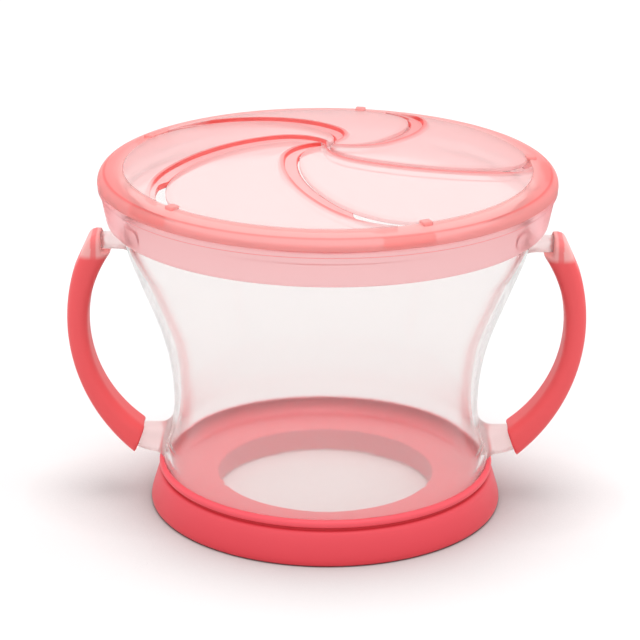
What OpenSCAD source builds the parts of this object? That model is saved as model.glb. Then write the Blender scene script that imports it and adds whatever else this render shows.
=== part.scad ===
// Toddler snack container: a clear two-handled bowl on a soft non-slip ring,
// closed by a clip-on lid whose soft cap is cut into five sprung flaps.
// Z = 0 is the table, the Z axis is the bowl's axis and the handles lie along X.

/* [Bowl] */
// Outer radius of the bowl's straight rim
rim_r = 48.5; // [47:0.5:54]
// Height of the bowl's rim above the table
rim_top = 79; // [78:0.5:92]
// Outer radius of the narrow waist
waist_r = 36.6; // [34:0.2:38]
// Height of the narrow waist
waist_z = 25; // [24.5:0.5:27]
// Outer radius of the foot that stands in the base ring
foot_r = 39.4; // [38.6:0.2:42]
// Thickness of the bowl's wall and floor
wall = 1.6; // [1.2:0.1:2.2]
// Height of the straight rim above the shoulder
rim_h = 6.5; // [5.5:0.1:8]
// Radius of the long hollow curve above the waist, as far as there is room for it
waist_curve_r = 62; // [50:1:66]
// Radius of the curve that turns the flank into the rim
shoulder_curve_r = 29; // [20:1:34]
// Radius of the short hollow curve below the waist
ankle_curve_r = 22; // [20:1:26]
// Radius of the bulge above the foot
foot_curve_r = 8; // [6:0.5:10]
// Radius of the rounded edge between foot and floor
corner_r = 4; // [3:0.25:5]
// How far the snap bead stands out from the rim
bead_out = 1.7; // [1.2:0.1:2.2]
// Height of the snap bead
bead_h = 2.4; // [1.8:0.1:3]

/* [Base ring] */
// Radius of the ring where it meets the table
base_r = 42.4; // [41.4:0.2:48]
// Radius of the round hole under the bowl's floor
base_hole_r = 26; // [18:0.5:30]
// Height of the shelf that carries the bowl's floor
shelf_z = 6; // [4:0.25:7]
// Height of the flared skirt below the groove
skirt_top_z = 7.6; // [7:0.1:8]
// Thickness of the soft wall round the foot
sleeve_t = 1.0; // [0.9:0.05:1.4]
// Width of the groove below the top bead
groove_h = 0.9; // [0.6:0.1:1.2]
// Depth of the groove
groove_d = 0.5; // [0.3:0.05:0.6]
// Height of the bead at the top of the ring
base_bead_h = 1.9; // [1.5:0.1:2.5]

/* [Handles] */
// How far the grips reach out beyond the rim
handle_reach = 13.4; // [12:0.2:22]
// Thickness of a grip at its outermost point, in the handle's plane
grip_t = 5; // [4.8:0.1:6.6]
// Width of a grip across the handle's plane
grip_w = 10; // [9:0.5:14]
// Radius of the grip's outer curve
grip_outer_r = 44.6; // [43:0.2:48]
// Radius of the grip's inner curve
grip_inner_r = 32.2; // [30:0.2:33]
// Height of the centre of the outer curve
grip_outer_z = 45.7; // [44.5:0.1:46.5]
// Height of the centre of the inner curve
grip_inner_z = 44.5; // [43.5:0.1:45.5]
// Rounding of the grip's edges
grip_round = 2.3; // [1.8:0.1:2.3]
// Thickness of the soft grip over the hard core
grip_skin = 1.2; // [0.9:0.1:1.4]
// Top of the grip
grip_top_z = 67.3; // [66.9:0.1:68]
// Width of the two stubs that carry a grip
stub_w = 5.6; // [4.6:0.2:7]
// Underside of the upper stub, where the core runs into the bowl
upper_stub_z = 63.3; // [62.8:0.1:63.8]
// Gap between the base ring and the lower stub
lower_stub_gap = 0.7; // [0.5:0.1:1.6]
// Height of the lower stub
lower_stub_h = 6.9; // [6:0.1:7.5]
// Radius of the fillet between lower stub and bowl
stub_fillet_r = 3.2; // [2:0.2:5]

/* [Lid ring] */
// Sideways clearance between the bowl's bead and the lid ring
lid_gap = 0.35; // [0.25:0.05:0.6]
// Upright clearance between the bowl's rim and the lid ring
seat_gap = 0.2; // [0.1:0.05:0.5]
// Thickness of the lid ring's skirt
skirt_t = 1.5; // [1:0.1:2]
// Height of the skirt
skirt_h = 7.4; // [6.5:0.1:8]
// How much the skirt widens towards the top
skirt_flare = 1.45; // [0.5:0.05:2]
// Thickness of the flange that rests on the rim
flange_t = 1.2; // [0.8:0.1:1.6]
// How far the flange overlaps the straight rim's radius outwards before it opens
mouth_margin = 0.7; // [0.3:0.1:1]
// Thickness of the upright collar inside the soft cap
collar_t = 1.6; // [1.2:0.1:2]
// Height of that collar
collar_h = 2; // [1.6:0.1:2.2]
// Width of each snap lug round the ring, in degrees
lug_deg = 5; // [3:0.5:10]

/* [Soft cap] */
// How far the cap bulges beyond the lid ring
cap_out = 0.5; // [0.2:0.1:1]
// Height of the cap's edge, from the flange to the edge of the dome
cap_h = 3.3; // [3.1:0.1:4.2]
// Radius of the cap's rounded shoulder
cap_round = 2.6; // [2:0.1:3]
// Rise of the dome from its edge to its middle
dome_rise = 5.3; // [4:0.1:6]
// Thickness of the flaps
flap_t = 1.1; // [0.9:0.05:1.5]
// Width of the slits between the flaps
slit_w = 0.4; // [0.3:0.05:0.6]
// Radius of the round end that keeps a slit from tearing on
tear_r = 0.8; // [0.5:0.1:1]
// Distance from the slits' outer ends to the cap's wall
slit_margin = 1.5; // [1.2:0.1:2]
// Radius of the opening where the flap tips meet
hub_r = 1.7; // [1.7:0.1:3]
// Width of the thick lap along each flap's outer edge
lap_w = 2.8; // [1.5:0.1:3.4]
// Thickness of that lap
lap_t = 1.8; // [1.6:0.1:2.4]
// Width of the raised rib behind the lap
rib_w = 2.0; // [1.2:0.1:2.6]
// Height of the raised rib
rib_h = 1.3; // [0.8:0.1:1.6]
// Length and width of the raised stop at each slit's end
stop_l = 2.4; // [1.6:0.1:3]
// Width of each anchor block in the cap's edge, in degrees
anchor_deg = 13.5; // [8:0.5:18]
// Furthest that a flap lifts, in degrees
flap_lift = 15; // [5:1:20]
// Furthest that a flap is pushed down, in degrees
flap_drop = 50; // [40:1:52]

/* [Hidden] */
$fn = 128;

clear_tint = [0.95, 0.93, 0.92, 0.5];
coral = "#e0555a";
ring_pink = "#fcc1c3";
cap_coral = "#fda09e";
flap_pink = "#f9dcdc";

flaps = 5;               // the pinwheel has five flaps
flap_pitch = 360 / flaps;
arc_steps = 8;           // straight steps in one rounded stretch
mould_gap = 0.05;        // parting between two materials moulded onto each other
tall = 200;              // longer than anything it cuts

// ---- points along arcs -------------------------------------------------------------
function arc(centre, r, from, to, steps = arc_steps) =
    [for (i = [0 : steps]) centre + r * [cos(from + (to - from) * i / steps),
                                         sin(from + (to - from) * i / steps)]];
function reversed(list) = [for (i = [len(list) - 1 : -1 : 0]) list[i]];

// ---- bowl ---------------------------------------------------------------------------
ankle_angle = acos(1 - (foot_r - waist_r) / (foot_curve_r + ankle_curve_r));
foot_top_z = waist_z - (foot_curve_r + ankle_curve_r) * sin(ankle_angle);

// The flank is the straight line that touches the hollow curve above the waist and the curve
// of the shoulder; the two curves together can't be wider than flank_run and flank_rise allow.
shoulder_z = rim_top - rim_h;
flank_rise = shoulder_z - waist_z;
flank_run = rim_r - waist_r;
curve_room = (flank_rise * flank_rise + flank_run * flank_run) / (2 * flank_run);
waist_curve = min(waist_curve_r, 0.98 * curve_room - shoulder_curve_r);
both_curves = waist_curve + shoulder_curve_r;
flank_angle = atan2(flank_rise, both_curves - flank_run)
              - acos(both_curves / norm([flank_rise, both_curves - flank_run]));

// Half outline of the bowl from the floor to the rim, moved inwards by inset
function bowl_side(inset) = concat(
    arc([foot_r - corner_r, shelf_z + corner_r], corner_r - inset, -90, 0),
    arc([foot_r - foot_curve_r, foot_top_z], foot_curve_r - inset, 0, ankle_angle),
    arc([waist_r + ankle_curve_r, waist_z], ankle_curve_r + inset, 180 + ankle_angle, 180),
    arc([waist_r + waist_curve, waist_z], waist_curve + inset,
        180 - flank_angle / arc_steps, 180 - flank_angle, arc_steps - 1),
    arc([rim_r - shoulder_curve_r, shoulder_z], shoulder_curve_r - inset, -flank_angle, 0));

bead_r = rim_r + bead_out;
bead_slope = bead_out / 2;     // the bead leaves the rim on a short slope
rim_ease = 0.6;                // rounding at the rim's outer edge

module bowl_outside() {
    rotate_extrude()
        polygon(concat([[0, shelf_z]], bowl_side(0),
                       [[rim_r, rim_top - bead_h - bead_slope], [bead_r, rim_top - bead_h],
                        [bead_r, rim_top - rim_ease], [bead_r - rim_ease, rim_top],
                        [0, rim_top]]));
}

module bowl_inside() {
    rotate_extrude()
        polygon(concat([[0, shelf_z + wall]], bowl_side(wall),
                       [[rim_r - wall, rim_top + 1], [0, rim_top + 1]]));
}

module bowl() {
    color(clear_tint)
    difference() {
        union() {
            bowl_outside();
            handle_core(0);
            mirror([1, 0, 0]) handle_core(0);
        }
        bowl_inside();
    }
}

// ---- base ring ------------------------------------------------------------------------
sleeve_r = foot_r + sleeve_t;
groove_slope = 0.2;      // rise of the slope that leads into the groove
groove_z = skirt_top_z + groove_slope;
base_top_z = groove_z + groove_h + base_bead_h;
table_chamfer = 0.6;
edge_top_z = 2;          // top of the ring's nearly upright outer edge
edge_lean = 0.25;        // how far that edge leans in
skirt_ease = 0.35;       // short slope that ends the skirt below the groove
skirt_ease_h = 1;
bead_roundness = 0.9;    // share of the largest rounding that the bead could take

module base_ring() {
    bead_round = min(sleeve_t, base_bead_h / 2) * bead_roundness;
    color(coral)
    difference() {
        rotate_extrude()
            polygon(concat(
                [[base_hole_r, 0], [base_r - table_chamfer, 0], [base_r, table_chamfer],
                 [base_r - edge_lean, edge_top_z], [sleeve_r + skirt_ease, skirt_top_z - skirt_ease_h],
                 [sleeve_r, skirt_top_z], [sleeve_r - groove_d, groove_z],
                 [sleeve_r - groove_d, groove_z + groove_h]],
                arc([sleeve_r - bead_round, groove_z + groove_h + bead_round], bead_round, -60, 0, 4),
                arc([sleeve_r - bead_round, base_top_z - bead_round], bead_round, 0, 90, 4),
                [[base_hole_r, base_top_z]]));
        rotate_extrude()
            polygon(concat([[0, shelf_z]], bowl_side(-mould_gap), [[0, shoulder_z]]));
    }
}

// ---- handles -------------------------------------------------------------------------
grip_outer_x = rim_r + handle_reach - grip_outer_r;
grip_inner_x = rim_r + handle_reach - grip_t - grip_inner_r;
grip_far_x = rim_r + handle_reach;   // outermost point of the grip
upper_end_in = 8.6;                  // from there back to the grip's upper end face
grip_end_x = grip_far_x - upper_end_in;
lower_end_in = 17.5;                 // and back to the middle of its lower end face
lower_cut_x = grip_far_x - lower_end_in;
lower_cut_z = 16.8;                  // height of that middle
lower_cut_angle = 20.7;              // lean of that end face
nose_r = 3;                          // rounding of the grip's top
nose_in = 7.9;                       // from the outermost point back to the middle of that rounding
nose_end = 25;                       // degrees above level where that rounding ends
shoulder_drop = 13;                  // from the grip's top to where its outer curve is whole
stub_top_cover = 0.6;                // soft grip over the upper stub
stub_side_cover = 0.25;              // soft grip below the upper stub
upper_stub_top = grip_top_z - stub_top_cover;
stub_bite = 2;                       // how far the upper stub runs into the grip
lower_stub_z = base_top_z + lower_stub_gap;
lower_stub_bite = 2.2;               // how far the lower stub runs into the grip
lower_bend_in = 4.9;                 // from its end face back to where that stub's underside rises
lower_bend_r = 14;                   // radius of that rise
stub_ease = 0.3;                     // rounding of a stub, as a share of its smaller side
fillet_out = 0.6;                    // how far the fillet's foot stands out from the waist
fillet_x = waist_r + stub_fillet_r + fillet_out;
fillet_inset = 1;                    // how far the fillet stays in from the stub's sides
bar_depth = 4.5 * grip_t;            // deeper than the bar is thick anywhere
bar_steps = 5;                       // straight steps in one rounded edge of the bar
stub_steps = 4;                      // straight steps in one rounded edge of a stub

// A solid turned about an axis parallel to Y through (x, z)
module turned_about_y(x, z) {
    translate([x, 0, z]) rotate([90, 0, 0]) rotate_extrude() children();
}

// The curved bar between the two arcs, its edges rounded, pulled in by inset all round
module curved_bar(inset) {
    half = grip_w / 2 - inset;
    edge = grip_round - inset;
    out_r = grip_outer_r - inset;
    in_r = grip_inner_r + inset;
    far = in_r + bar_depth;
    intersection() {
        turned_about_y(grip_outer_x, grip_outer_z)
            polygon(concat([[0, half], [0, -half]],
                           arc([out_r - edge, edge - half], edge, -90, 0, bar_steps),
                           arc([out_r - edge, half - edge], edge, 0, 90, bar_steps)));
        turned_about_y(grip_inner_x, grip_inner_z)
            polygon(concat([[far, -half], [far, half]],
                           arc([in_r + edge, half - edge], edge, 90, 180, bar_steps),
                           arc([in_r + edge, edge - half], edge, 180, 270, bar_steps)));
    }
}

// A bar along X from the bowl's axis to x, with rounded edges
module bar_along_x(x, z, h, half) {
    edge = min(h, 2 * half) * stub_ease;
    translate([0, 0, z]) rotate([90, 0, 90]) linear_extrude(x)
        polygon(concat(arc([half - edge, edge], edge, -90, 0, stub_steps),
                       arc([half - edge, h - edge], edge, 0, 90, stub_steps),
                       arc([edge - half, h - edge], edge, 90, 180, stub_steps),
                       arc([edge - half, edge], edge, 180, 270, stub_steps)));
}

// What is left of the bar when both end faces of the grip are cut, pulled in by inset
module grip_ends(inset) {
    lean = [sin(lower_cut_angle), -cos(lower_cut_angle)];   // down along the lower end face
    cut = [lower_cut_x, lower_cut_z] - inset * [lean.y, -lean.x];
    end_x = grip_end_x + inset;
    side_z = upper_stub_z - stub_side_cover - inset;
    nose = [grip_far_x - nose_in, grip_top_z - nose_r];
    top_r = nose_r - inset;
    shoulder = [grip_far_x, grip_top_z - shoulder_drop] - inset * [cos(nose_end), sin(nose_end)];
    rotate([90, 0, 0]) linear_extrude(tall, center = true)
        polygon(concat(
            [[grip_inner_x, side_z], [end_x, side_z]],
            arc(nose, top_r, acos((end_x - nose.x) / top_r), nose_end, arc_steps),
            [shoulder, [tall, 0], cut + lean * tall / 2,
             cut - lean * 2 * grip_w, [grip_inner_x, cut.y + 2 * grip_w]]));
}

// The outside of one grip, pulled in by inset all round
module grip_body(inset) {
    intersection() {
        curved_bar(inset);
        grip_ends(inset);
        bar_along_x(tall, 0, grip_top_z - inset, grip_w / 2 - inset);
    }
}

// The lower stub with its underside rising into the grip, widened by gap
module lower_stub(gap) {
    bend_x = lower_cut_x - lower_bend_in;
    intersection() {
        bar_along_x(lower_cut_x + lower_stub_bite + gap, lower_stub_z - gap, lower_stub_h + 2 * gap,
                    stub_w / 2 + gap);
        union() {
            translate([0, -tall / 2, 0]) cube([bend_x, tall, tall]);
            translate([bend_x, 0, lower_stub_z + lower_bend_r])
                rotate([90, 0, 0]) cylinder(r = lower_bend_r + gap, h = tall, center = true);
        }
        translate([grip_outer_x, 0, grip_outer_z])
            rotate([90, 0, 0]) cylinder(r = grip_outer_r - grip_skin + gap, h = tall, center = true);
    }
}

// The hard core inside one grip with its two stubs, widened by gap
module handle_core(gap) {
    half = stub_w / 2 + gap;
    lower_top = lower_stub_z + lower_stub_h;
    grip_body(grip_skin - gap);
    bar_along_x(grip_end_x + stub_bite + gap, upper_stub_z - gap,
                upper_stub_top - upper_stub_z + 2 * gap, half);
    lower_stub(gap);
    difference() {
        translate([0, fillet_inset - half, lower_top - 1])
            cube([fillet_x, 2 * (half - fillet_inset), stub_fillet_r + 1]);
        translate([fillet_x, 0, lower_top + stub_fillet_r])
            rotate([90, 0, 0]) cylinder(r = stub_fillet_r, h = tall, center = true);
    }
}

module grip() {
    color(coral)
    difference() {
        grip_body(0);
        handle_core(mould_gap);
    }
}

module grip_right() { grip(); }
module grip_left() { mirror([1, 0, 0]) grip(); }

// ---- lid ring --------------------------------------------------------------------------
flange_z = rim_top + seat_gap;
skirt_in_r = bead_r + lid_gap;
skirt_low_z = flange_z - skirt_h;
skirt_out_low = skirt_in_r + skirt_t;
skirt_out_top = skirt_out_low + skirt_flare;
mouth_r = rim_r + mouth_margin;
cap_low_z = flange_z + flange_t;
collar_inset = 1.6;            // from the mouth's edge out to the collar
collar_r = mouth_r + collar_inset;
slit_end_r = mouth_r - slit_margin;
slit_end_az = 25.2;            // where the first slit ends, from -Y towards +X
anchor_before = 4.9;           // an anchor block stands this many degrees before a slit's end
anchor_az = slit_end_az - anchor_before;
lug_az = [60, 120, 240, 300];  // where the snap lugs stand
lug_in = 0.1;                  // how far a lug stands in from the skirt
lug_drop = 3.6;                // from the flange down to a lug
lug_h = 2.4;                   // height of a lug at the skirt
lug_slope = 0.7;               // how much lower a lug is at its inner face
lug_root = 0.5;                // how far a lug runs into the skirt
flange_step = 0.4;             // the flange stands out from the skirt by this much
flange_edge = 0.2;             // bevel of the flange's edge
skirt_edge = 0.4;              // bevel inside the skirt's lower edge

// A wedge of the given width round Z, facing az from -Y towards +X
module wedge(az, width, low, h) {
    translate([0, 0, low]) rotate(az - 90 - width / 2)
        rotate_extrude(angle = width) square([tall, h]);
}

module lid_ring() {
    lug_r = skirt_in_r - lug_in;
    lug_root_r = skirt_in_r + skirt_flare + lug_root;
    lug_top = flange_z - lug_drop;
    flange_r = skirt_out_top + flange_step;
    collar_out = collar_r + collar_t;
    color(ring_pink)
    difference() {
        union() {
            rotate_extrude()
                polygon([[mouth_r, flange_z], [skirt_in_r + skirt_flare, flange_z],
                         [skirt_in_r, skirt_low_z + skirt_edge],
                         [skirt_in_r + skirt_edge, skirt_low_z],
                         [skirt_out_low, skirt_low_z], [skirt_out_top, flange_z],
                         [flange_r, flange_z + flange_edge], [flange_r, cap_low_z - flange_edge],
                         [flange_r - flange_edge, cap_low_z], [collar_out, cap_low_z],
                         [collar_out, cap_low_z + collar_h], [collar_r, cap_low_z + collar_h],
                         [collar_r, cap_low_z], [mouth_r, cap_low_z]]);
            intersection() {
                rotate_extrude()
                    polygon([[lug_r, lug_top - lug_h + lug_slope], [lug_root_r, lug_top - lug_h],
                             [lug_root_r, lug_top], [lug_r, lug_top - lug_slope]]);
                for (az = lug_az) wedge(az, lug_deg, skirt_low_z, skirt_h);
            }
        }
        for (k = [0 : flaps - 1])
            wedge(anchor_az + k * flap_pitch, anchor_deg, cap_low_z, collar_h + 1);
    }
}

// ---- soft cap ---------------------------------------------------------------------------
dome_edge_z = cap_low_z + cap_h;
dome_r = (mouth_r * mouth_r + dome_rise * dome_rise) / (2 * dome_rise);
dome_centre_z = dome_edge_z + dome_rise - dome_r;
cap_r = skirt_out_top + cap_out;
shoulder_r = cap_r - cap_round;
dome_end = asin(shoulder_r / dome_r);
dome_steps = 10;         // straight steps from the dome's middle to its edge
petal_root = 0.6;        // how far the petals run into the cap's edge

// Height of the dome's outer face, raised by up, at radius r
function dome_z(r, up = 0) = dome_centre_z + sqrt(pow(dome_r + up, 2) - r * r);

// A slice of the dome between two heights over its outer face, out to radius r
module dome_layer(low, high, r) {
    rotate_extrude()
        polygon(concat([for (i = [0 : dome_steps]) let (x = r * i / dome_steps) [x, dome_z(x, high)]],
                       [for (i = [dome_steps : -1 : 0]) let (x = r * i / dome_steps) [x, dome_z(x, low)]]));
}

// One slit runs from the hub in three arcs that join smoothly: each is [radius, turn]
slit_arcs = [[11.5, 63], [38.5, 42.5], [20, 59]];
slit_start = 204;
// The path as [x, y, heading], one stretch after the other
function stretch(p, r, turn) = [for (i = [1 : arc_steps]) let (h = p.z + turn * i / arc_steps)
    [p.x + r * (sin(h) - sin(p.z)), p.y + r * (cos(p.z) - cos(h)), h]];
function slit_run(p, n = 0) = n == len(slit_arcs) ? [] :
    let (s = stretch(p, slit_arcs[n][0], slit_arcs[n][1]))
    concat(s, slit_run(s[len(s) - 1], n + 1));
raw_slit = concat([[0, 0, slit_start]], slit_run([0, 0, slit_start]));
raw_end = raw_slit[len(raw_slit) - 1];
slit_scale = slit_end_r / norm([raw_end.x, raw_end.y]);
slit_turn = slit_end_az - atan2(raw_end.x, -raw_end.y);
slit_steps = len(raw_slit) - 1;

// The slit's path moved towards its hollow side by side(i), where i counts its points
function slit_line(side) = [for (i = [0 : slit_steps])
    let (p = raw_slit[i], q = slit_scale * [p.x, p.y] + side[i] * [-sin(p.z), cos(p.z)])
    [q.x * cos(slit_turn) - q.y * sin(slit_turn), q.x * sin(slit_turn) + q.y * cos(slit_turn)]];
function even(d) = [for (i = [0 : slit_steps]) d];
// The lap is nothing at the hub and has its full width a little after the first arc
lap_full = 1.3 * arc_steps;    // points along the slit before the lap has its full width
rib_full = 5;                  // points before the rib beside it has its full width
function lap_side(extra = 0) = [for (i = [0 : slit_steps])
    -(lap_w * sin(90 * min(1, i / lap_full)) + slit_w / 2 + extra * (1 + min(1, i / rib_full)) / 2)];
function turned(list, a) = [for (p = list) [p.x * cos(a) - p.y * sin(a), p.x * sin(a) + p.y * cos(a)]];

petal_trim = 0.3;              // degrees by which a petal's root stops short of its slits

// Plan of one whole petal: between two neighbouring slits, out into the cap's edge
module petal_plan() {
    from = slit_end_az - 90 + petal_trim;
    to = slit_end_az - 90 + flap_pitch - petal_trim;
    first = slit_line(even(slit_w / 2));
    second = turned(slit_line(even(-slit_w / 2)), flap_pitch);
    polygon(concat([for (i = [1 : slit_steps]) first[i]], arc([0, 0], mouth_r + petal_root, from, to),
                   [for (i = [slit_steps : -1 : 1]) second[i]]));
}

// Plan of the strip between two lines beside the slit
module slit_band(near, far) {
    polygon(concat([for (i = [1 : slit_steps]) slit_line(near)[i]],
                   [for (i = [slit_steps : -1 : 1]) slit_line(far)[i]]));
}

relief_steps = 8;              // points of the slit along its open end
below = 10;                    // further over or under the dome than a petal reaches

// The open end of the slit, between the lap's end and the rib
module relief_plan() {
    start = slit_steps - relief_steps;
    near = slit_line(even(0));
    far = slit_line(lap_side());
    polygon(concat([for (i = [start : slit_steps]) near[i]],
                   [for (i = [slit_steps : -1 : start + 1]) far[i]]));
}

// One petal as a soft sheet with its lap and rib, before the hinge cuts it
module petal() {
    difference() {
        intersection() {
            dome_layer(-lap_t, rib_h, mouth_r + petal_root);
            linear_extrude(tall) petal_plan();
        }
        pocket(0, below) slit_band(lap_side(), lap_side(rib_w));
        pocket(-below, -flap_t) intersection() {
            slit_band(even(0), lap_side(rib_w));
            circle(slit_end_r - tear_r);
        }
        rotate(flap_pitch) linear_extrude(tall) relief_plan();
        cylinder(r = hub_r, h = tall);
        for (a = [0, flap_pitch]) rotate(slit_end_az - 90 + a)
            translate([slit_end_r, 0, 0]) cylinder(r = tear_r, h = tall);
    }
}

// What is cut from a petal between two heights over the dome, all but the plan given
module pocket(low, high) {
    intersection() {
        dome_layer(low, high, cap_r);
        linear_extrude(tall) difference() {
            circle(cap_r);
            rotate(flap_pitch) children();
        }
    }
}

hinge_az = slit_end_az + flap_pitch / 2;          // way the first hinge faces
hinge_d = slit_end_r * cos(flap_pitch / 2);       // distance from the axis to a hinge line
hinge_depth = 0.3;                                // of the hinge lines under the dome, at their ends
hinge_z = dome_z(slit_end_r) - hinge_depth;       // height of the hinge lines
hinge_gap = 0.15;                                 // parting on each side of a hinge line
hinge_spare = 1;                                  // degrees cut away beyond a flap's travel

// Everything inwards of the hinge line, grooved above and below so that the flap can lift and drop
module inside_hinge() {
    rotate(hinge_az - 90) translate([hinge_d - hinge_gap, 0, hinge_z])
        intersection_for(lean = [-flap_lift - hinge_spare, flap_drop + hinge_spare])
            rotate([0, lean, 0]) translate([-tall, -tall / 2, -tall / 2]) cube(tall);
}

// Everything outwards of the hinge line
module outside_hinge() {
    rotate(hinge_az - 90) translate([hinge_d + hinge_gap, -tall / 2, 0]) cube(tall);
}

module flap(k) {
    color(flap_pink)
    rotate(k * flap_pitch) intersection() {
        petal();
        inside_hinge();
    }
}

module flap_1() { flap(0); }
module flap_2() { flap(1); }
module flap_3() { flap(2); }
module flap_4() { flap(3); }
module flap_5() { flap(4); }

cap_foot_z = cap_low_z + mould_gap;
anchor_trim = 0.1;             // degrees by which the soft anchors are narrower than their notches
lip_r = slit_end_r + 0.3;      // inner edge of the cap's rim, just outside the slits' ends
lip_proud = 0.1;               // how far that edge stands over the petals
round_z = dome_z(shoulder_r) - cap_round + lip_proud;
cap_tuck = asin((round_z - cap_foot_z) / cap_round);      // the shoulder's rounding ends at the foot
lip_t = flap_t + 0.3;          // thickness of that edge

// The fixed edge of the cap, moulded round the collar, with a lobe at each flap's root
module cap_rim() {
    color(cap_coral) {
        difference() {
            union() {
                rotate_extrude()
                    polygon(concat(
                        [[mouth_r, cap_foot_z]],
                        arc([shoulder_r, round_z], cap_round, -cap_tuck, 90 - dome_end),
                        [for (i = [1 : 3]) let (r = shoulder_r - (shoulder_r - lip_r) * i / 3)
                            [r, dome_z(r, lip_proud)]],
                        [[lip_r, dome_z(lip_r, -lip_t)], [mouth_r, dome_z(mouth_r, -lip_t)]]));
                for (k = [0 : flaps - 1]) rotate(k * flap_pitch) {
                    intersection() {
                        petal();
                        outside_hinge();
                    }
                    slit_stop();
                }
            }
            difference() {
                rotate_extrude()
                    translate([collar_r - mould_gap, 0])
                        square([collar_t + 2 * mould_gap, cap_low_z + collar_h + mould_gap]);
                for (k = [0 : flaps - 1])
                    wedge(anchor_az + k * flap_pitch, anchor_deg - anchor_trim, 0, tall);
            }
        }
    }
}

stop_after = 1.3;              // degrees from a slit's end to the middle of its stop
stop_in = 0.4;                 // how far the stop reaches in over the slit's end
stop_h = 1.2;                  // height of the stop above the dome

// Raised block that ends one slit
module slit_stop() {
    low = dome_z(slit_end_r, -flap_t);
    rotate(slit_end_az - 90 + stop_after)
        intersection() {
            translate([slit_end_r - stop_in, -stop_l / 2, low]) cube([stop_l, stop_l, flap_t + stop_h]);
            dome_layer(-flap_t / 2, stop_h, shoulder_r + 1);
        }
}

bowl();
base_ring();
grip_left();
grip_right();
lid_ring();
cap_rim();
flap_1();
flap_2();
flap_3();
flap_4();
flap_5();
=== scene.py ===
"""A toddler's snack container: a clear bowl with two soft grips stands in a coral base ring, and
a pink lid ring carries a soft cap whose five petals let a small hand in."""

import math

import bmesh
import bpy
from mathutils import Matrix, Vector


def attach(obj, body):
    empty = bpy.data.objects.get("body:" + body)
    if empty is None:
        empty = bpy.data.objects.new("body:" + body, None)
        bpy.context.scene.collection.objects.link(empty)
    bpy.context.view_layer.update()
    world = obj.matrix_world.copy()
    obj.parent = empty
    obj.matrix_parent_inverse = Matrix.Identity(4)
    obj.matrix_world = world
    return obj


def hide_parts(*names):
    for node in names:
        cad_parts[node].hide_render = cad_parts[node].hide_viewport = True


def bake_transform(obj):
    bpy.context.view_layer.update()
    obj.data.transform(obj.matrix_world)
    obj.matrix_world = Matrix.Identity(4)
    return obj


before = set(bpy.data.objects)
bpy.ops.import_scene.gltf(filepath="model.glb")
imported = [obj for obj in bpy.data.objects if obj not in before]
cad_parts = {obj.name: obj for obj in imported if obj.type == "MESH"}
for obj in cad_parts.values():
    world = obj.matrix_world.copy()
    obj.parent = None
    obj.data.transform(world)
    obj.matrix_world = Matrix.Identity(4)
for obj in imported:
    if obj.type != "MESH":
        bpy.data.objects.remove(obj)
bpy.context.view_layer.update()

# Sizes below are in millimetres unless a name says otherwise, and meshes are made in metres
MM = 0.001
around = 240              # steps round every turned piece
sharp_deg = 35            # edges sharper than this stay crisp
weld = 0.001              # points closer than this are one
spin_weld = 0.002

# ---- camera, light and floor ------------------------------------------------------------
frame_px = 640
focal_px = 2666
axis_px = (326.5, 340.5)      # where the camera's axis meets the frame
camera_distance = 640
camera_lift_deg = 20.58
camera_roll_deg = 0.49
aim_height = 40
sensor_mm = 36


def set_camera():
    """The camera in front of the container and a little above it, aimed at its axis."""
    lens = bpy.data.cameras.new("camera")
    lens.sensor_width = sensor_mm
    lens.lens = sensor_mm * focal_px / frame_px
    lens.shift_x = (frame_px / 2 - axis_px[0]) / frame_px
    lens.shift_y = (axis_px[1] - frame_px / 2) / frame_px
    lens.clip_start = 0.01
    lens.clip_end = 20
    camera = bpy.data.objects.new("camera", lens)
    bpy.context.scene.collection.objects.link(camera)
    lift = math.radians(camera_lift_deg)
    place = Vector((0, -math.cos(lift) * camera_distance, aim_height + math.sin(lift) * camera_distance))
    camera.matrix_world = (Matrix.Translation(place * MM) @ Matrix.Rotation(math.pi / 2 - lift, 4, "X")
                           @ Matrix.Rotation(math.radians(camera_roll_deg), 4, "Z"))
    bpy.context.scene.camera = camera


def add_node(tree, kind, **inputs):
    """A shader node of that kind, with constants set on its named sockets."""
    node = tree.nodes.new(kind)
    for name, value in inputs.items():
        node.inputs[name.replace("_", " ")].default_value = value
    return node


def math_node(tree, operation, first, second):
    """A Math node over two sockets or constants."""
    node = tree.nodes.new("ShaderNodeMath")
    node.operation = operation
    for socket, value in zip(node.inputs, (first, second)):
        if isinstance(value, bpy.types.NodeSocket):
            tree.links.new(value, socket)
        else:
            socket.default_value = value
    return node.outputs[0]


world_light = 1.0
lamp_place_m = (0.1, -0.15, 1.3)
lamp_size_m = 0.9
lamp_watts = 5.2
floor_size_m = 12
floor_seen = 0.90             # the floor's whiteness from the camera
floor_through = 0.86          # in reflections and through the plastic
floor_bounce = 0.55           # as it lights the bowl from below
contact_reach = 28            # how far the contact shadow spreads from the base ring
contact_depth = 0.95          # power that sets how dark it is


def set_world():
    """An even white surrounding that lights the container from every side."""
    world = bpy.data.worlds.new("studio")
    bpy.context.scene.world = world
    world.use_nodes = True
    tree = world.node_tree
    tree.nodes.clear()
    light = add_node(tree, "ShaderNodeBackground", Color=(1, 1, 1, 1), Strength=world_light)
    out = tree.nodes.new("ShaderNodeOutputWorld")
    tree.links.new(light.outputs[0], out.inputs["Surface"])


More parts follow.
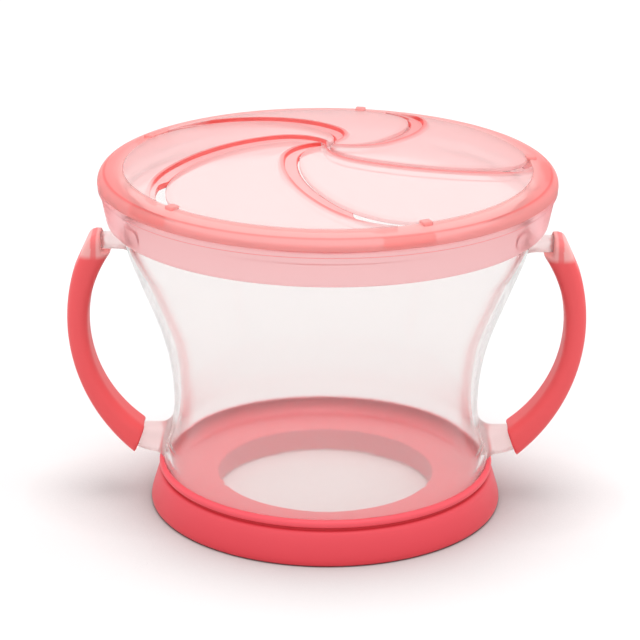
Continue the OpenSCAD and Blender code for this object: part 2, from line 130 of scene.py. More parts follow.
def whiteness(tree):
    """The floor's whiteness on each kind of ray, with a contact shadow for the camera."""
    path = tree.nodes.new("ShaderNodeLightPath")
    indirect = math_node(tree, "MAXIMUM", path.outputs["Is Glossy Ray"], path.outputs["Is Transmission Ray"])
    through = math_node(tree, "MULTIPLY", indirect, floor_through - floor_bounce)
    near = add_node(tree, "ShaderNodeAmbientOcclusion", Distance=contact_reach * MM)
    contact = math_node(tree, "POWER", near.outputs["AO"], contact_depth)
    shaded = math_node(tree, "MULTIPLY", contact, floor_seen)
    seen = math_node(tree, "MULTIPLY", path.outputs["Is Camera Ray"],
                     math_node(tree, "SUBTRACT", shaded, floor_bounce))
    return math_node(tree, "ADD", math_node(tree, "ADD", seen, through), floor_bounce)


def set_floor():
    """A wide sheet of white paper under the container."""
    bm = bmesh.new()
    bmesh.ops.create_grid(bm, x_segments=1, y_segments=1, size=floor_size_m / 2)
    mesh = bpy.data.meshes.new("floor")
    bm.to_mesh(mesh)
    bm.free()
    floor = bpy.data.objects.new("floor", mesh)
    bpy.context.scene.collection.objects.link(floor)
    paper = bpy.data.materials.new("white_paper")
    paper.use_nodes = True
    tree = paper.node_tree
    tree.nodes.clear()
    matt = tree.nodes.new("ShaderNodeBsdfDiffuse")
    out = tree.nodes.new("ShaderNodeOutputMaterial")
    tree.links.new(whiteness(tree), matt.inputs["Color"])
    tree.links.new(matt.outputs[0], out.inputs["Surface"])
    mesh.materials.append(paper)


def softbox(name, place_m, size_m, watts):
    """A square lamp that faces the middle of the bowl."""
    lamp = bpy.data.lights.new(name, "AREA")
    lamp.shape = "SQUARE"
    lamp.size = size_m
    lamp.energy = watts
    box = bpy.data.objects.new(name, lamp)
    bpy.context.scene.collection.objects.link(box)
    aim = Vector((0, 0, aim_height * MM)) - Vector(place_m)
    box.matrix_world = Matrix.Translation(place_m) @ aim.to_track_quat("-Z", "Y").to_matrix().to_4x4()


# ---- materials ------------------------------------------------------------------------
def moulded_skin_group():
    """The faint grain and uneven gloss that a mould leaves, for any of the plastics here."""
    group = bpy.data.node_groups.new("moulded_skin", "ShaderNodeTree")
    for name, value in (("Gloss patch size", 60.0), ("Roughness", 0.4), ("Unevenness", 0.1),
                        ("Grain size", 1500.0), ("Grain depth", 0.05)):
        socket = group.interface.new_socket(name, in_out="INPUT", socket_type="NodeSocketFloat")
        socket.default_value = value
    group.interface.new_socket("Roughness", in_out="OUTPUT", socket_type="NodeSocketFloat")
    group.interface.new_socket("Normal", in_out="OUTPUT", socket_type="NodeSocketVector")
    given = group.nodes.new("NodeGroupInput")
    out = group.nodes.new("NodeGroupOutput")
    place = group.nodes.new("ShaderNodeTexCoord")
    patches = add_node(group, "ShaderNodeTexNoise", Detail=3.0)
    grain = add_node(group, "ShaderNodeTexNoise", Detail=2.0)
    bump = add_node(group, "ShaderNodeBump", Distance=0.0002)
    for noise, size in ((patches, "Gloss patch size"), (grain, "Grain size")):
        group.links.new(place.outputs["Object"], noise.inputs["Vector"])
        group.links.new(given.outputs[size], noise.inputs["Scale"])
    centred = math_node(group, "SUBTRACT", patches.outputs[0], 0.5)
    uneven = math_node(group, "MULTIPLY", centred, given.outputs["Unevenness"])
    group.links.new(math_node(group, "ADD", uneven, given.outputs["Roughness"]), out.inputs["Roughness"])
    group.links.new(grain.outputs[0], bump.inputs["Height"])
    group.links.new(given.outputs["Grain depth"], bump.inputs["Strength"])
    group.links.new(bump.outputs["Normal"], out.inputs["Normal"])
    return group


moulded_skin = moulded_skin_group()


def new_finish(name):
    """An empty material with its output, and the moulded skin feeding a Principled shader."""
    material = bpy.data.materials.new(name)
    material.use_nodes = True
    tree = material.node_tree
    tree.nodes.clear()
    out = tree.nodes.new("ShaderNodeOutputMaterial")
    skin = tree.nodes.new("ShaderNodeGroup")
    skin.node_tree = moulded_skin
    body = tree.nodes.new("ShaderNodeBsdfPrincipled")
    tree.links.new(skin.outputs["Roughness"], body.inputs["Roughness"])
    tree.links.new(skin.outputs["Normal"], body.inputs["Normal"])
    return material, tree, out, skin, body


def set_skin(skin, roughness, unevenness, grain_size, grain_depth):
    """Sets one material's own grain and gloss on its copy of the moulded skin."""
    skin.inputs["Roughness"].default_value = roughness
    skin.inputs["Unevenness"].default_value = unevenness
    skin.inputs["Grain size"].default_value = grain_size
    skin.inputs["Grain depth"].default_value = grain_depth


def see_through(name, tint, clear, ior, skin_values, soak, density, lamp_tint):
    """A moulded see-through plastic. tint colours its face, clear is how much passes through,
    soak and density colour what passes by its thickness, and lamp_tint colours its shadow."""
    material, tree, out, skin, body = new_finish(name)
    set_skin(skin, *skin_values)
    body.inputs["Base Color"].default_value = (*tint, 1)
    body.inputs["Transmission Weight"].default_value = clear
    body.inputs["IOR"].default_value = ior
    shadow = add_node(tree, "ShaderNodeBsdfTransparent", Color=(*lamp_tint, 1))
    path = tree.nodes.new("ShaderNodeLightPath")
    mix = tree.nodes.new("ShaderNodeMixShader")
    tree.links.new(path.outputs["Is Shadow Ray"], mix.inputs[0])
    tree.links.new(body.outputs[0], mix.inputs[1])
    tree.links.new(shadow.outputs[0], mix.inputs[2])
    tree.links.new(mix.outputs[0], out.inputs["Surface"])
    if density:
        volume = add_node(tree, "ShaderNodeVolumeAbsorption", Color=(*soak, 1), Density=density)
        tree.links.new(volume.outputs[0], out.inputs["Volume"])
    return material


def deepen(material, deep, facing_only=False):
    """Takes a material's colour towards deep, by the "deep" values of its meshes, 0 to 1. They
    count on both sides of a face, or only on its outer side."""
    tree = material.node_tree
    base = tree.nodes["Principled BSDF"].inputs["Base Color"]
    amount = tree.nodes.new("ShaderNodeAttribute")
    amount.attribute_name = "deep"
    ramp = tree.nodes.new("ShaderNodeMix")
    ramp.data_type = "RGBA"
    if base.is_linked:
        tree.links.new(base.links[0].from_socket, ramp.inputs["A"])
    else:
        ramp.inputs["A"].default_value = base.default_value
    ramp.inputs["B"].default_value = (*deep, 1)
    share = amount.outputs["Fac"]
    if facing_only:
        side = tree.nodes.new("ShaderNodeNewGeometry")
        front = math_node(tree, "SUBTRACT", 1.0, side.outputs["Backfacing"])
        share = math_node(tree, "MULTIPLY", share, front)
    tree.links.new(share, ramp.inputs["Factor"])
    tree.links.new(ramp.outputs["Result"], base)


def soft_rubber(name, colour, deep, skin_values):
    """A satin rubber whose colour drifts faintly between colour and deep."""
    material, tree, out, skin, body = new_finish(name)
    set_skin(skin, *skin_values)
    place = tree.nodes.new("ShaderNodeTexCoord")
    drift = add_node(tree, "ShaderNodeTexNoise", Scale=35.0, Detail=3.0)
    ramp = tree.nodes.new("ShaderNodeMix")
    ramp.data_type = "RGBA"
    ramp.inputs["A"].default_value = (*colour, 1)
    ramp.inputs["B"].default_value = (*deep, 1)
    tree.links.new(place.outputs["Object"], drift.inputs["Vector"])
    tree.links.new(drift.outputs[0], ramp.inputs["Factor"])
    tree.links.new(ramp.outputs["Result"], body.inputs["Base Color"])
    body.inputs["Specular IOR Level"].default_value = 0.4
    tree.links.new(body.outputs[0], out.inputs["Surface"])
    return material


clear_plastic = see_through("clear_plastic", tint=(0.985, 0.97, 0.965), clear=0.94, ior=1.25,
                            skin_values=(0.08, 0.03, 900, 0.02), soak=(0.8, 0.72, 0.7),
                            density=15, lamp_tint=(1, 1, 1))
milky_plastic = see_through("milky_plastic", tint=(1.0, 0.90, 0.89), clear=0.75, ior=1.12,
                            skin_values=(0.3, 0.05, 900, 0.02), soak=(1, 0.8, 0.8),
                            density=60, lamp_tint=(1, 0.95, 0.95))
ring_plastic = see_through("pink_ring_plastic", tint=(1.0, 0.69, 0.70), clear=0.85, ior=1.03,
                           skin_values=(0.32, 0.08, 900, 0.03), soak=(1, 0.35, 0.38),
                           density=50, lamp_tint=(0.8, 0.7, 0.7))
# The deep colour is painted shade, a line under the flange's step
deepen(ring_plastic, (1.0, 0.30, 0.30))
cap_rubber = see_through("soft_cap_rubber", tint=(1.0, 0.67, 0.65), clear=0.6, ior=1.04,
                         skin_values=(0.3, 0.08, 900, 0.03), soak=(1, 0.3, 0.3),
                         density=20, lamp_tint=(0.8, 0.7, 0.7))
deepen(cap_rubber, (1.0, 0.24, 0.23))
anchor_rubber = see_through("anchor_rubber", tint=(1.0, 0.45, 0.42), clear=1.0, ior=1.03,
                            skin_values=(0.2, 0.05, 900, 0.02), soak=(1, 0.15, 0.15),
                            density=100, lamp_tint=(1, 0.85, 0.85))
collar_plastic = see_through("collar_plastic", tint=(1.0, 0.85, 0.87), clear=1.0, ior=1.03,
                             skin_values=(0.1, 0.05, 900, 0.02), soak=(1, 1, 1),
                             density=0, lamp_tint=(1, 0.95, 0.95))
petal_rubber = see_through("petal_rubber", tint=(0.94, 0.775, 0.77), clear=0.68, ior=1.015,
                           skin_values=(0.2, 0.06, 900, 0.02), soak=(1, 0.4, 0.42),
                           density=15, lamp_tint=(1, 0.99, 0.99))
deepen(petal_rubber, (1.0, 0.11, 0.10), facing_only=True)
coral_rubber = soft_rubber("coral_rubber", (0.99, 0.115, 0.125), (0.95, 0.105, 0.115),
                           skin_values=(0.45, 0.1, 1200, 0.06))
deepen(coral_rubber, (1.0, 0.54, 0.52))     # towards the paler skin over the grips' ends
base_rubber = soft_rubber("base_rubber", (0.99, 0.105, 0.14), (0.95, 0.1, 0.13),
                          skin_values=(0.45, 0.1, 1200, 0.06))
# The deep colour is painted shade, in the base ring's groove and low on its skirt
deepen(base_rubber, (0.6, 0.01, 0.02))


# ---- making pieces ------------------------------------------------------------------------
def arc(centre_r, centre_z, radius, start, end, steps=10):
    """Points of an arc in the plane of radius and height, angles in degrees."""
    return [(centre_r + radius * math.cos(math.radians(start + (end - start) * i / steps)),
             centre_z + radius * math.sin(math.radians(start + (end - start) * i / steps)))
            for i in range(steps + 1)]


def at_azimuth(r, azimuth, z):
    """A point in metres. Azimuth is in degrees from the front, -Y, towards +X."""
    turn = math.radians(azimuth)
    return Vector((r * math.sin(turn), -r * math.cos(turn), z)) * MM


def turned(outline, start=0.0, width=360.0, closed=True):
    """Spins an outline of (radius, height) points round the axis, from start over width degrees."""
    bm = bmesh.new()
    ring = [bm.verts.new(at_azimuth(r, start, z)) for r, z in outline]
    pairs = list(zip(ring, ring[1:] + (ring[:1] if closed else [])))
    edges = [bm.edges.new(pair) for pair in pairs]
    whole = width >= 360
    steps = max(3, round(around * width / 360))
    bmesh.ops.spin(bm, geom=ring + edges, cent=(0, 0, 0), axis=(0, 0, 1), angle=math.radians(width),
                   steps=steps, use_merge=whole)
    bmesh.ops.remove_doubles(bm, verts=bm.verts, dist=spin_weld * MM)
    if not whole:
        bmesh.ops.holes_fill(bm, edges=[e for e in bm.edges if e.is_boundary])
    bmesh.ops.recalc_face_normals(bm, faces=bm.faces)
    return bm


def turn_about_axis(bm, azimuth):
    """Turns a piece about the bowl's axis by degrees of azimuth."""
    turn = Matrix.Rotation(math.radians(azimuth), 3, "Z")
    bmesh.ops.rotate(bm, verts=bm.verts, cent=(0, 0, 0), matrix=turn)


def shade(bm, depth):
    """Gives each point the depth of its colour, from its radius and height."""
    deep = bm.verts.layers.float.new("deep")
    for vert in bm.verts:
        vert[deep] = depth(vert.co.xy.length / MM, vert.co.z / MM)
    return bm


def to_object(name, bm, material):
    """Makes the mesh an object, smooth apart from its sharp edges."""
    for face in bm.faces:
        face.smooth = True
    for edge in bm.edges:
        edge.smooth = edge.calc_face_angle(0) < math.radians(sharp_deg)
    mesh = bpy.data.meshes.new(name)
    bm.to_mesh(mesh)
    bm.free()
    mesh.materials.append(material)
    piece = bpy.data.objects.new(name, mesh)
    bpy.context.scene.collection.objects.link(piece)
    return piece


def make_piece(name, bm, material, body, slot, *nodes):
    """A finished piece that rides on a body and stands for the CAD nodes named."""
    piece = to_object(name, bm, material)
    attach(piece, body)
    if nodes:
        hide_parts(*nodes)
    return piece


def apply_modifiers(piece):
    """Turns a piece's modifiers into its mesh."""
    made = piece.evaluated_get(bpy.context.evaluated_depsgraph_get())
    mesh = bpy.data.meshes.new_from_object(made)
    piece.modifiers.clear()
    old = piece.data
    piece.data = mesh
    bpy.data.meshes.remove(old)


# ---- bowl -----------------------------------------------------------------------------
wall = 1.6
floor_z = 6.0
rim_r = 48.5
rim_top = 79.0
# The side's arcs from the floor up: centre radius, centre height, radius, start, end
side_arcs = ((35.4, 10.0, 4.0, -90, 0), (31.4, 12.34, 8.0, 0, 24.95), (58.6, 25.0, 22.0, 204.95, 180),
             (98.6, 25.0, 62.0, 180, 158.5), (19.5, 72.5, 29.0, -21.5, 0))


def bowl_side(inset):
    """The side from the floor to the rim, moved inwards by inset. Hollow arcs grow by as much."""
    points = []
    for centre_r, centre_z, radius, start, end in side_arcs:
        hollow = start >= 180
        points += arc(centre_r, centre_z, radius + inset if hollow else radius - inset, start, end, 14)
    return points


def bowl_radius(z, side):
    """Radius of the bowl's side at a height."""
    for (low_r, low_z), (high_r, high_z) in zip(side, side[1:]):
        if low_z <= z <= high_z and high_z > low_z:
            return low_r + (high_r - low_r) * (z - low_z) / (high_z - low_z)
    return rim_r


bead_out = 1.7
bead_low = 75.75
bead_ramp = 0.85              # height of the slope under the bead
bead_round = 0.6


def bowl_shell():
    """The bowl's floor, side and bead, turned in one."""
    bead_r = rim_r + bead_out
    rim = [(rim_r, bead_low), (bead_r, bead_low + bead_ramp)]
    rim += arc(bead_r - bead_round, rim_top - bead_round, bead_round, 0, 90, 5)
    rim += arc(rim_r - wall + bead_round, rim_top - bead_round, bead_round, 90, 180, 5)
    outline = [(0, floor_z)] + bowl_side(0) + rim + bowl_side(wall)[::-1] + [(0, floor_z + wall)]
    return turned(outline, closed=False)


upper_stub = (63.3, 66.7, 2.8, 55.0, 1.0)     # low, high, half width, reach, flare at the wall
lower_stub = (11.3, 18.2, 2.8, 46.4, 2.2)
bend_x, bend_r = 39.5, 14.0                   # where the lower stub's underside starts to rise
stub_steps_out, stub_steps_round = 14, 40
stub_corner = 0.55            # power that squares a stub's round section
stub_fillet_share = 1 / 3     # share of a stub's length that its fillet at the wall takes
stub_sunk = 0.3               # how far its root is sunk in the wall


def stub(side, low_z, high_z, half_w, reach_x, flare):
    """A clear stub with rounded corners that grows out of the bowl's wall towards +X."""
    bm = bmesh.new()
    bmesh.ops.create_grid(bm, x_segments=stub_steps_out, y_segments=stub_steps_round, size=0.5)
    mid_z = (low_z + high_z) / 2
    half_h = (high_z - low_z) / 2
    for vert in bm.verts:
        out, turn = vert.co.x + 0.5, (vert.co.y + 0.5) * math.tau
        across = math.copysign(abs(math.cos(turn)) ** stub_corner, math.cos(turn))
        up = math.copysign(abs(math.sin(turn)) ** stub_corner, math.sin(turn))
        from_wall = min(1, out / stub_fillet_share)
        swell = flare * (1 - math.sqrt(1 - (1 - from_wall) ** 2))
        y = across * (half_w + swell)
        z = mid_z + up * (half_h + swell)
        x_root = math.sqrt((bowl_radius(z, side) - stub_sunk) ** 2 - y * y)
        x = x_root + (reach_x - x_root) * out
        vert.co = Vector((x, y, z)) * MM
    bmesh.ops.remove_doubles(bm, verts=bm.verts, dist=weld * MM)
    bmesh.ops.holes_fill(bm, edges=[e for e in bm.edges if e.is_boundary])
    bmesh.ops.recalc_face_normals(bm, faces=bm.faces)
    return bm


def raise_underside(bm):
    """Lifts the lower stub's outer underside along an arc."""
    for vert in bm.verts:
        x, z = vert.co.x / MM, vert.co.z / MM
        if x > bend_x:
            lift = bend_r - math.sqrt(bend_r ** 2 - (x - bend_x) ** 2)
            share = (lower_stub[1] - z) / (lower_stub[1] - lower_stub[0])
            vert.co.z += lift * min(1, max(0, share)) * MM


def mirrored(bm):
    """Mirrors a right-hand piece into a left-hand one."""
    bmesh.ops.scale(bm, vec=(-1, 1, 1), verts=bm.verts)
    bmesh.ops.recalc_face_normals(bm, faces=bm.faces)
    return bm


def make_bowl():
    """The clear bowl, and the four stubs that carry its grips."""
    make_piece("clear_bowl", bowl_shell(), clear_plastic, "container", "clear_bowl", "bowl")
    side = bowl_side(0)
    for level, sizes in (("upper", upper_stub), ("lower", lower_stub)):
        for hand in ("right", "left"):
            bm = stub(side, *sizes)
            if level == "lower":
                raise_underside(bm)
            if hand == "left":
                mirrored(bm)
            make_piece("%s_stub_%s" % (level, hand), bm, milky_plastic, "container", "clear_bowl")


# ---- base ring and grips ------------------------------------------------------------------
seat_gap = 0.05
shelf_top = 10.5              # the bowl's foot sits in the ring up to this height
ring_hole_r = 26.0
ring_hole_edge = 0.3
ring_bead_r, ring_bead_round = 39.545, 0.855
groove_r = 39.45
groove_low, groove_high = 8.2, 8.5
groove_painted_shade = 0.9                       # how dark the painted shade in the groove is
skirt_painted_shade, skirt_fade = 0.65, 0.05     # painted shade on the skirt at the table, and how much less per millimetre up


def make_base_ring():
    """The non-slip ring, with a seat for the bowl's foot, a bead, a groove and a flared skirt."""
    shelf = [p for p in bowl_side(-seat_gap) if p[1] < shelf_top]
    bead = arc(ring_bead_r, 9.555, ring_bead_round, -50, 0, 5)
    bead += arc(ring_bead_r, 9.745, ring_bead_round, 0, 90, 5)
    skirt = [(ring_hole_r + ring_hole_edge, 0), (41.6, 0), (42.0, 0.12), (42.3, 0.4), (42.4, 0.8),
             (42.3, 1.6), (41.9, 3.0), (41.3, 5.0), (40.85, 6.5), (40.6, 7.2), (40.35, 7.6),
             (40.05, 7.85), (39.5, 8.05)]
    groove = [(groove_r, groove_low), (groove_r, groove_high), (39.6, 8.7), (39.95, 8.85)]
    hole = [(ring_hole_r + ring_hole_edge, floor_z - seat_gap), (ring_hole_r, 5.7),
            (ring_hole_r, ring_hole_edge)]

    def depth(r, z):
        """Painted shade: dark in the groove, and darker down the skirt towards the table."""
        if groove_r - 0.15 < r < groove_r + 0.25 and groove_low - 0.2 < z < groove_high + 0.25:
            return groove_painted_shade
        outside = r > groove_r + 0.45 and z < groove_low - 0.2
        return skirt_painted_shade - skirt_fade * z if outside else 0.0

    outline = skirt + groove + bead + [(38.9, 10.55)] + shelf[::-1] + hole
    bm = shade(turned(outline), depth)
    make_piece("coral_base_ring", bm, base_rubber, "container", "coral_rubber", "base_ring")


grip_voxel = 0.45
grip_smoothing, grip_relax = 6, 0.5   # rounds of smoothing, and how far each goes
pale_from, pale_full = 61.5, 62.7     # heights over which the grips' upper ends turn paler
pale_share, stripe_share = 0.8, 0.25  # how pale they get, and how pale the stripe on them
stripe_in, stripe_out = 54.6, 55.8    # the core's edge shows as a darker stripe there


def grip_paleness(r, z):
    """The skin over a grip's upper end is thin and pale, apart from a stripe."""
    pale = min(1, max(0, (z - pale_from) / (pale_full - pale_from)))
    return pale * (stripe_share if stripe_in < r < stripe_out else pale_share)


def make_grip(node):
    """A soft grip: the moulded bar with its edges softened as rubber comes out of a mould."""
    bm = bmesh.new()
    bm.from_mesh(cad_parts[node].data)
    bmesh.ops.remove_doubles(bm, verts=bm.verts, dist=weld * MM)
    piece = to_object("soft_" + node, bm, coral_rubber)
    remesh = piece.modifiers.new("skin", "REMESH")
    remesh.mode = "VOXEL"
    remesh.voxel_size = grip_voxel * MM
    remesh.use_smooth_shade = True
    relax = piece.modifiers.new("relax", "SMOOTH")
    relax.factor = grip_relax
    relax.iterations = grip_smoothing
    apply_modifiers(piece)
    bm = bmesh.new()
    bm.from_mesh(piece.data)
    shade(bm, grip_paleness).to_mesh(piece.data)
    bm.free()
    piece.data.materials.clear()
    piece.data.materials.append(coral_rubber)
    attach(piece, "container")
    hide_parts(node)


# ---- lid ring -------------------------------------------------------------------------
petals = 5
pitch = 360 / petals
flange_z = 79.2
cap_low = 80.4
skirt_low = 71.8
mouth_r = 49.2
lug_azimuths = (60, 120, 240, 300)
lug_half_deg = 2.6
lug_low, lug_high = 73.2, 75.6
lug_rise, lug_root_r = 1.0, 51.6
step_r = 53.4                         # the step in the skirt just under the flange, with a line of painted shade
step_low, step_high = 78.9, 79.2
anchor_azimuth = 20.3                 # middle of the first gap in the collar
anchor_deg = 13.5
collar_in, collar_out, collar_top = 50.8, 52.4, 82.4
collar_lift = 0.15                    # it starts this far over the flange's top
collar_edge = 0.25
anchor_edge = 0.2
anchor_gap_deg = 0.1                  # clearance at each end of an anchor block


def in_lug(azimuth):
    """Whether one of the four lugs stands at this azimuth."""
    return any(abs(azimuth - lug) < lug_half_deg for lug in lug_azimuths)


def make_lid_ring():
    """The skirt with its lugs, and the flange that rests on the bowl's rim."""
    inner = [(mouth_r, flange_z), (51.9, flange_z), (52.0, 79.0), (51.7, 77.3), (51.35, lug_high + 0.35),
             (51.3, lug_high), (51.1, 74.6), (50.85, lug_low), (50.8, lug_low - 0.35), (50.65, 72.3),
             (50.75, 71.95), (50.95, skirt_low)]
    outer = [(51.85, skirt_low), (52.02, 71.95), (52.1, 72.2), (53.3, 78.3), (53.42, 78.85),
             (53.47, 78.95), (53.62, 79.12), (53.8, 79.22), (53.9, 79.4), (53.9, 80.1), (53.8, 80.3),
             (53.6, cap_low), (mouth_r, cap_low)]
    bm = turned(inner + outer)
    for vert in bm.verts:
        r, z = vert.co.xy.length / MM, vert.co.z / MM
        if r < lug_root_r and lug_low - 0.1 < z < lug_high + 0.1:
            azimuth = math.degrees(math.atan2(vert.co.x, -vert.co.y)) % 360
            if in_lug(azimuth):
                vert.co.xy *= (r - lug_rise) / r
    # A line of painted shade where the skirt steps in under the flange
    shade(bm, lambda r, z: 1.0 if r > step_r and step_low < z < step_high else 0.0)
    make_piece("pink_lid_ring", bm, ring_plastic, "lid", "pink_ring", "lid_ring")


def collar_outline(edge):
    """The upright collar's section, with its upper edges taken off by edge."""
    foot = cap_low + collar_lift
    return [(collar_in, foot), (collar_out, foot), (collar_out, collar_top - edge),
            (collar_out - edge, collar_top), (collar_in + edge, collar_top), (collar_in, collar_top - edge)]


def make_collar():
    """The lid ring's upright collar, in five runs with a notch between them."""
    for k in range(petals):
        start = anchor_azimuth + anchor_deg / 2 + k * pitch
        run = turned(collar_outline(collar_edge), start, pitch - anchor_deg)
        make_piece("collar_%d" % (k + 1), run, collar_plastic, "lid", "pink_ring")


# ---- soft cap ----------------------------------------------------------------------------
dome_rise = 5.3
dome_edge_z = 83.7
dome_radius = (mouth_r ** 2 + dome_rise ** 2) / (2 * dome_rise)
petal_t = 1.1
lip_r = 48.02                 # where the cap's edge ends and the petals start
shoulder_r = 51.4
shoulder_round = 2.6
cap_proud = 0.1               # how far the cap's edge stands above the dome's face
edge_deg, edge_spread = 68, 12              # where the shoulder's colour is deepest, and how widely
edge_depth, side_depth = 0.9, 0.35          # how deep it is there and down the side
inner_depth = 0.6                           # share of that where the shoulder meets the top
slit_end_r = 47.7
slit_end_azimuth = 25.2
slit_half = 0.2
tear_r = 0.8                  # the round stop that keeps a slit from tearing on
hub_r = 1.7                   # the opening where the petals meet
lap_w, lap_t = 3.1, 1.8       # the thinner strip of each petal beside its far slit
lap_drop = 0.45               # how far the lap lies under the dome's face
rib_w, rib_h = 1.3, 0.5
rib_fade = 5                  # the ribs sink into the face over this length at the cap's edge


def dome_z(r):
    """Height of the dome's outer face at radius r."""
    return dome_edge_z + dome_rise - dome_radius + math.sqrt(dome_radius ** 2 - r * r)


def make_cap_rim():
    """The cap's round shoulder and lip, and the blocks that anchor it through the collar."""
    tilt = math.degrees(math.asin(shoulder_r / dome_radius))
    shoulder_z = dome_z(shoulder_r) - shoulder_round
    foot = [(mouth_r, cap_low + seat_gap), (53.75, cap_low + seat_gap)]
    shoulder = arc(shoulder_r, shoulder_z + cap_proud, shoulder_round, -2, 90 - tilt, 30)
    top = [(r, dome_z(r) + cap_proud) for r in (50.4, 49.4, 48.4)]
    lip = [(lip_r, dome_z(lip_r) - 0.1), (lip_r, dome_z(lip_r) - petal_t), (48.4, dome_z(48.4) - 1.35),
           (mouth_r, dome_z(mouth_r) - 1.5)]

    def depth(r, z):
        """Deepest along the shoulder's upper edge, and paler down the side and in towards the petals."""
        if z < dome_z(min(r, shoulder_r)) - 1 and r < shoulder_r:
            return 0.0
        if r < shoulder_r:
            return edge_depth * inner_depth * (r - lip_r) / (shoulder_r - lip_r)
        fall = abs(math.degrees(math.atan2(z - shoulder_z, r - shoulder_r)) - edge_deg) / edge_spread
        return side_depth + (edge_depth - side_depth) * max(0, 1 - fall)

    bm = shade(turned(foot + shoulder + top + lip), depth)
    make_piece("soft_cap_rim", bm, cap_rubber, "lid", "soft_cap", "cap_rim")
    for k in range(petals):
        start = anchor_azimuth - anchor_deg / 2 + anchor_gap_deg + k * pitch
        block = turned(collar_outline(anchor_edge), start, anchor_deg - 2 * anchor_gap_deg)
        make_piece("anchor_block_%d" % (k + 1), block, anchor_rubber, "lid", "soft_cap")


# One slit runs from the hub in three arcs that join smoothly: radius and turn in degrees
slit_arcs = ((11.5, 63), (38.5, 42.5), (20, 59))
slit_heading = 204
fine = 24                   # points on each arc
marks = 8                   # places along the slit are counted in eighths of an arc


def slit_path():
    """The slit's path as (x, y, heading), before it is scaled and turned into place."""
    x, y, heading = 0.0, 0.0, float(slit_heading)
    path = [(x, y, heading)]
    for radius, turn in slit_arcs:
        for i in range(fine):
            ahead = heading + turn / fine
            x += radius * (math.sin(math.radians(ahead)) - math.sin(math.radians(heading)))
            y += radius * (math.cos(math.radians(heading)) - math.cos(math.radians(ahead)))
            heading = ahead
            path.append((x, y, heading))
    return path


raw_slit = slit_path()
end_x, end_y, _ = raw_slit[-1]
slit_scale = slit_end_r / math.hypot(end_x, end_y)
slit_turn = slit_end_azimuth - math.degrees(math.atan2(end_x, -end_y))
slit_length = slit_scale * sum(r * math.radians(t) for r, t in slit_arcs)


def slit_line(side):
    """The slit's path moved to its hollow side by side(mark, way), as (radius, azimuth) pairs
    with rising radius. mark counts eighths of an arc, and way is how far it is to the slit's end."""
    line = []
    for i, (x, y, heading) in enumerate(raw_slit):
        turn = math.radians(heading)
        done = i / (len(raw_slit) - 1)
        step = side(i * marks / fine, slit_length * (1 - done))
        px = slit_scale * x - step * math.sin(turn)
        py = slit_scale * y + step * math.cos(turn)
        line.append([math.hypot(px, py), math.degrees(math.atan2(px, -py)) + slit_turn])
    line[-1][1] -= 360 * round((line[-1][1] - slit_end_azimuth) / 360)
    for later, point in zip(line[::-1], line[-2::-1]):
        point[1] -= 360 * round((point[1] - later[1]) / 360)
    return line


def azimuth_at(line, r):
    """Azimuth at which a slit line crosses radius r."""
    if r <= line[0][0]:
        return line[0][1]
    for (low_r, low_a), (high_r, high_a) in zip(line, line[1:]):
        if low_r <= r <= high_r and high_r > low_r:
            return low_a + (high_a - low_a) * (r - low_r) / (high_r - low_r)
    return line[-1][1]


lap_full = 1.3 * marks      # mark at which the lap has its full width
rib_full = 5                # mark at which the rib has its full width
open_from = 18              # mark at which the lap ends and the slit stands open
open_within = 0.5           # marks over which it opens
open_share = 0.65           # share of the lap's width that is open there
line_gap = 0.02             # keeps lines apart where the slit's opening cuts them all off


def lap_at(mark):
    """The lap's width, which grows from nothing at the hub."""
    return lap_w * math.sin(math.radians(90 * min(1, mark / lap_full)))


def rib_at(mark):
    """The rib's width, which starts at half."""
    return rib_w * (1 + min(1, mark / rib_full)) / 2


def near_side(inset):
    """Line beside the petal's near slit, rounded out at the slit's end."""
    def side(mark, way):
        tear = math.sqrt(max(0, tear_r ** 2 - way ** 2))
        return max(slit_half, tear) + inset
    return side


def far_side(lap_share, rib_share, shift, rank=0):
    """Line beside the petal's far slit: shares of the lap and rib widths, and a shift. Lines of a
    lower rank stay further back where the slit stands open."""
    def side(mark, way):
        shut = slit_half + lap_share * lap_at(mark) + rib_share * rib_at(mark) + shift
        opened = min(1, max(0, (mark - open_from) / open_within))
        standing_open = slit_half + open_share * lap_at(mark) - line_gap * (1 + rank)
        return -max(shut, standing_open * opened)
    return side


petal_rows = 170
body_columns = 14           # columns between a petal's near edge and its rib
edge_gap = 0.1              # between the petals and the cap's edge
least_shade = 0.4           # share of the ribs' colour left where they have sunk in


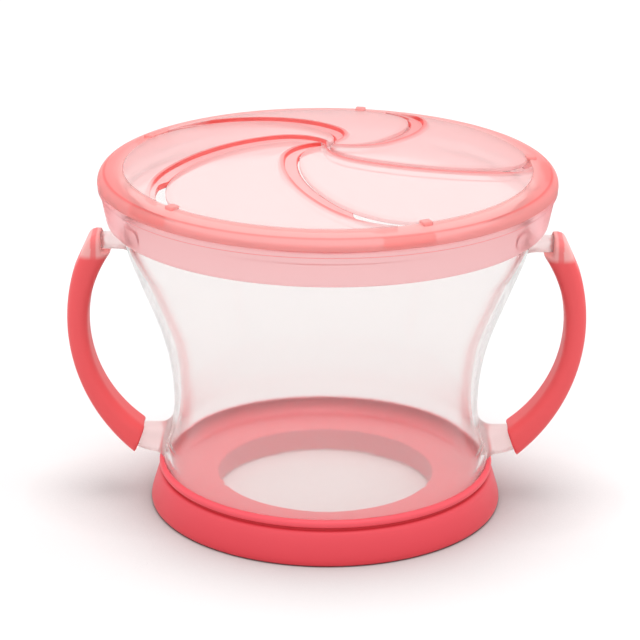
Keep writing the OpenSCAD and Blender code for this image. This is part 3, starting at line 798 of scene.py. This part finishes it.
def make_petals():
    """Five equal petals, each a grid over the dome between two slits, with a top and an underside."""
    # Lines across a petal from its near edge to its far edge: the line, the heights of the top
    # and the underside from the dome's face, and how deep the colour is
    near = [(near_side(0.0), -0.22, -0.88, 0.15), (near_side(0.12), -0.05, -1.04, 0.15),
            (near_side(0.35), 0, -petal_t, 0.1)]
    rib = [(far_side(1, 1, 0.4), 0, -petal_t, 0), (far_side(1, 1, 0.05), 0.1, -petal_t, 0.15),
           (far_side(1, 1, -0.25), rib_h - 0.05, -1.4, 0.3), (far_side(1, 1, -0.4), rib_h, -1.6, 0.5),
           (far_side(1, 0, 0.2), rib_h, -lap_t, 0.7), (far_side(1, 0, 0.1), rib_h - 0.1, -lap_t, 1),
           (far_side(1, 0, 0.0), 0.1 - lap_drop, -lap_t, 1)]
    lap = [(far_side(1, 0, -0.2, 1), -lap_drop, -lap_t, 0.4),
           (far_side(0, 0, 0.4, 3), -lap_drop, -lap_t, 0.4),
           (far_side(0, 0, 0.1, 4), -lap_drop - 0.05, -lap_t + 0.06, 1),
           (far_side(0, 0, 0.0, 5), -lap_drop - 0.2, -lap_t + 0.25, 1)]
    near_lines = [(slit_line(side), *rest) for side, *rest in near]
    far_lines = [(slit_line(side), *rest) for side, *rest in rib + lap]
    columns = len(near_lines) + body_columns + len(far_lines)

    def place(row, column, top):
        """Where a point of the grid goes, and how deep its colour is."""
        r = hub_r + (lip_r - edge_gap - hub_r) * row / petal_rows
        fade = min(1, (lip_r - r) / rib_fade)
        first = azimuth_at(near_lines[-1][0], r)
        last = azimuth_at(far_lines[0][0], r) + pitch
        if column < len(near_lines):
            line, high, low, depth = near_lines[column]
            azimuth = azimuth_at(line, r)
        elif column < len(near_lines) + body_columns:
            part = (column - len(near_lines) + 1) / (body_columns + 1)
            azimuth, high, low, depth = first + (last - first) * part, 0, -petal_t, 0
        else:
            line, high, low, depth = far_lines[column - len(near_lines) - body_columns]
            azimuth = azimuth_at(line, r) + pitch
        z = dome_z(r) + (high * fade if top else low)
        return at_azimuth(r, azimuth, z), depth * max(fade, least_shade)

    for k in range(petals):
        bm = bmesh.new()
        deep = bm.verts.layers.float.new("deep")
        for top in (True, False):
            face = bmesh.ops.create_grid(bm, x_segments=petal_rows, y_segments=columns - 1, size=0.5)
            for vert in face["verts"]:
                row = round((vert.co.x + 0.5) * petal_rows)
                column = round((vert.co.y + 0.5) * (columns - 1))
                vert.co, vert[deep] = place(row, column, top)
        bmesh.ops.bridge_loops(bm, edges=[e for e in bm.edges if e.is_boundary])
        turn_about_axis(bm, pitch * k)
        bmesh.ops.recalc_face_normals(bm, faces=bm.faces)
        petal = to_object("petal_%d" % (k + 1), bm, petal_rubber)
        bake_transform(petal)
        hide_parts("flap_%d" % (k + 1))


stop_after = 1.3            # degrees from a slit's end to the middle of its stop
stop_size = 2.4
stop_rise, stop_sunk = 0.55, 0.5            # how far it stands over its base and under it
stop_base = 0.15            # the base's height over the dome's face
stop_overlap = 0.4          # how far it reaches in past the slit's end
stop_round = 0.3
stop_shade = 0.3


def make_stops():
    """A small block on the cap's edge at the end of each slit."""
    for k in range(petals):
        azimuth = slit_end_azimuth + stop_after + k * pitch
        bm = bmesh.new()
        bmesh.ops.create_cube(bm, size=1)
        size = Vector((stop_size, stop_size, stop_rise + stop_sunk))
        bmesh.ops.scale(bm, vec=size * MM, verts=bm.verts)
        bmesh.ops.bevel(bm, geom=bm.edges[:], offset=stop_round * MM, segments=3, affect="EDGES",
                        profile=0.5, material=-1)
        turn_about_axis(bm, azimuth)
        middle_r = slit_end_r - stop_overlap + stop_size / 2
        middle_z = dome_z(middle_r) + (stop_rise - stop_sunk) / 2 + stop_base
        bmesh.ops.translate(bm, verts=bm.verts, vec=at_azimuth(middle_r, azimuth, middle_z))
        shade(bm, lambda r, z: stop_shade)
        make_piece("slit_stop_%d" % (k + 1), bm, cap_rubber, "lid", "soft_cap")


# ---- scene ------------------------------------------------------------------------------
set_camera()
set_world()
set_floor()
softbox("key_softbox", lamp_place_m, lamp_size_m, lamp_watts)
make_bowl()
make_base_ring()
make_grip("grip_left")
make_grip("grip_right")
make_lid_ring()
make_collar()
make_cap_rim()
make_petals()
make_stops()

# Light bounces many times inside the clear walls before it leaves them
scene = bpy.context.scene
scene.view_settings.view_transform = "Standard"
scene.cycles.max_bounces = 32
scene.cycles.transmission_bounces = 28
scene.cycles.transparent_max_bounces = 32
